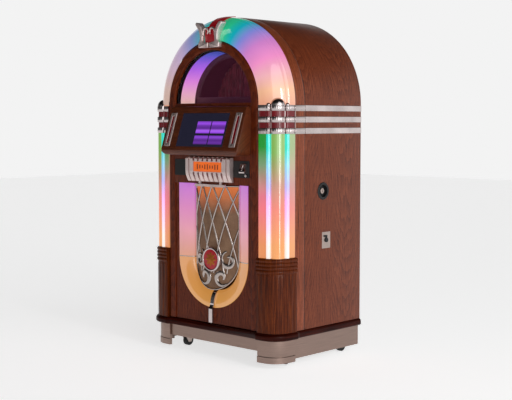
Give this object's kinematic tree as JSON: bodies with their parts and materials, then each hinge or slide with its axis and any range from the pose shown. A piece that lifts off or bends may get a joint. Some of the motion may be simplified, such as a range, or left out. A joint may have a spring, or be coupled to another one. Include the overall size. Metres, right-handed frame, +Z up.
{
  "type": "jukebox",
  "caption": "Arch-topped wooden jukebox with lit pilasters, tilted touch screen, scrolled grille, hinged front door and swivel casters.",
  "frame": {"origin": "centre of the footprint, on the floor under the casters", "axes": "+Z up, +Y to the back of the cabinet, +X to the right seen from the front"},
  "size_m": [0.822, 0.6624, 1.5364],
  "materials": {
    "veneer": "satin",
    "dark_wood": "satin",
    "kick_metal": "brushed",
    "chrome": "polished",
    "black": "matte",
    "rubber": "matte",
    "red_plastic": "gloss",
    "lit_plastic": "gloss",
    "amber_plastic": "satin",
    "glass": "gloss",
    "cloth": "woven",
    "screen": "gloss"
  },
  "bodies": {
    "cabinet": {"cabinet_shell": "veneer", "front_bead": "veneer", "pilaster_socket_right": "veneer", "pilaster_socket_left": "veneer", "back_panel": "dark_wood", "base_frame": "dark_wood", "base_moulding": "dark_wood", "display_tunnel": "dark_wood", "kick_front": "kick_metal", "kick_side_right": "kick_metal", "kick_side_left": "kick_metal", "corner_casting_right": "kick_metal", "corner_casting_left": "kick_metal", "dial_plate": "kick_metal", "pilaster_lens_right": "lit_plastic", "pilaster_lens_left": "lit_plastic", "pilaster_tubes_right": "lit_plastic", "pilaster_tubes_left": "lit_plastic", "arch_lens": "lit_plastic", "band_sleeve_right": "red_plastic", "band_sleeve_left": "red_plastic", "crest_saddle": "red_plastic", "band_casting_right": "chrome", "band_casting_left": "chrome", "side_strip_low_right": "chrome", "side_strip_low_left": "chrome", "side_strip_mid_right": "chrome", "side_strip_mid_left": "chrome", "side_strip_top_right": "chrome", "side_strip_top_left": "chrome", "lock_cup": "black", "curtain": "cloth"},
    "door": {"door_frame": "veneer", "window_glass": "glass", "console_housing": "veneer", "touch_screen": "screen", "console_bar_right": "kick_metal", "console_bar_left": "kick_metal", "service_plate": "black", "selector_casting": "chrome", "selector_window": "amber_plastic", "coin_entry": "chrome", "u_lens": "lit_plastic", "centre_trim": "chrome", "grille_lattice": "chrome", "speaker_board": "cloth", "woofer": "black", "badge": "red_plastic", "crest_casting": "chrome"},
    "lock_barrel_body": {"lock_barrel": "kick_metal"},
    "dial_knob_body": {"dial_knob": "black"},
    "reject_button_body": {"reject_button": "chrome"},
    "caster_front_right": {"caster_fork_front_right": "kick_metal"},
    "wheel_front_right": {"caster_wheel_front_right": "rubber"},
    "caster_front_left": {"caster_fork_front_left": "kick_metal"},
    "wheel_front_left": {"caster_wheel_front_left": "rubber"},
    "caster_rear_right": {"caster_fork_rear_right": "kick_metal"},
    "wheel_rear_right": {"caster_wheel_rear_right": "rubber"},
    "caster_rear_left": {"caster_fork_rear_left": "kick_metal"},
    "wheel_rear_left": {"caster_wheel_rear_left": "rubber"}
  },
  "joints": [
    {"name": "front_door_hinge", "type": "hinge", "parent": "cabinet", "child": "door", "pos_m": [-0.282, -0.2448, 0.8], "axis": [0, 0, -1], "range_deg": [0, 100]},
    {"name": "lock_turn", "type": "hinge", "parent": "cabinet", "child": "lock_barrel_body", "pos_m": [0.391, 0.0622, 0.761], "axis": [-1, 0, 0], "range_deg": [0, 90]},
    {"name": "dial_turn", "type": "hinge", "parent": "cabinet", "child": "dial_knob_body", "pos_m": [0.391, 0.0847, 0.542], "axis": [1, 0, 0], "range_deg": [-45, 45]},
    {"name": "reject_push", "type": "slide", "parent": "door", "child": "reject_button_body", "axis": [0, 1, 0], "range_m": [0, 0.003], "stiffness_N_per_m": 300, "springref_m": -0.002},
    {"name": "caster_front_right_swivel", "type": "hinge", "parent": "cabinet", "child": "caster_front_right", "pos_m": [0.309, -0.1148, 0.06], "axis": [0, 0, 1], "continuous": true},
    {"name": "wheel_front_right_spin", "type": "hinge", "parent": "caster_front_right", "child": "wheel_front_right", "pos_m": [0.309, -0.0968, 0.025], "axis": [1, 0, 0], "continuous": true},
    {"name": "caster_front_left_swivel", "type": "hinge", "parent": "cabinet", "child": "caster_front_left", "pos_m": [-0.309, -0.1148, 0.06], "axis": [0, 0, 1], "continuous": true},
    {"name": "wheel_front_left_spin", "type": "hinge", "parent": "caster_front_left", "child": "wheel_front_left", "pos_m": [-0.309, -0.0968, 0.025], "axis": [1, 0, 0], "continuous": true},
    {"name": "caster_rear_right_swivel", "type": "hinge", "parent": "cabinet", "child": "caster_rear_right", "pos_m": [0.309, 0.2752, 0.06], "axis": [0, 0, 1], "continuous": true},
    {"name": "wheel_rear_right_spin", "type": "hinge", "parent": "caster_rear_right", "child": "wheel_rear_right", "pos_m": [0.309, 0.2932, 0.025], "axis": [1, 0, 0], "continuous": true},
    {"name": "caster_rear_left_swivel", "type": "hinge", "parent": "cabinet", "child": "caster_rear_left", "pos_m": [-0.309, 0.2752, 0.06], "axis": [0, 0, 1], "continuous": true},
    {"name": "wheel_rear_left_spin", "type": "hinge", "parent": "caster_rear_left", "child": "wheel_rear_left", "pos_m": [-0.309, 0.2932, 0.025], "axis": [1, 0, 0], "continuous": true}
  ]
}
